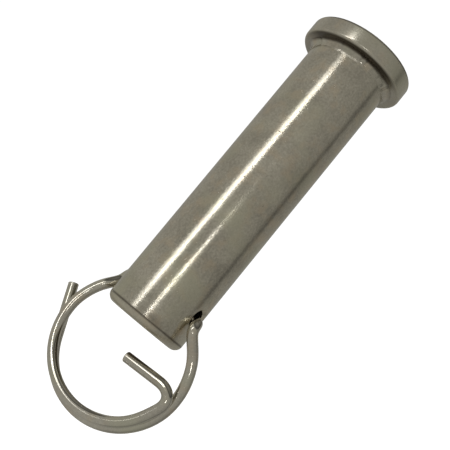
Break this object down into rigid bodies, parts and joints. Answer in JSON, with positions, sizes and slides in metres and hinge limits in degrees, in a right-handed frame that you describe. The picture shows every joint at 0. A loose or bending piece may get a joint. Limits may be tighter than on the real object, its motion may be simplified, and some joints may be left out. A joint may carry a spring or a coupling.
{
  "type": "clevis pin with cotter ring",
  "caption": "Round stainless clevis pin with a welded disc head and a one-and-a-half-turn cotter ring through its cross hole.",
  "frame": {"origin": "centre of the head's underside, on the shank's axis: the seat plane, where the pin's clevis holds it up", "axes": "+Z along the shank towards the head, X along the cross hole, the ring hangs down -Z and leans 2.3 degrees towards -Y"},
  "size_m": [0.0322, 0.021, 0.0831],
  "materials": {
    "bar_steel": "tumbled stainless, satin with fine lengthwise marks",
    "head_steel": "tumbled stainless, satin",
    "weld_steel": "cleaned weld metal, uneven",
    "spring_steel": "drawn stainless spring wire, smooth"
  },
  "bodies": {
    "pin": {"shank": "bar_steel", "head": "head_steel", "neck_weld": "weld_steel"},
    "ring": {"cotter_ring": "spring_steel"}
  },
  "joints": [
    {"name": "ring_swing", "type": "hinge", "parent": "pin", "child": "ring", "pos_m": [0, 0, -0.0532], "axis": [1, 0, 0], "range_deg": [-125, 144]}
  ]
}
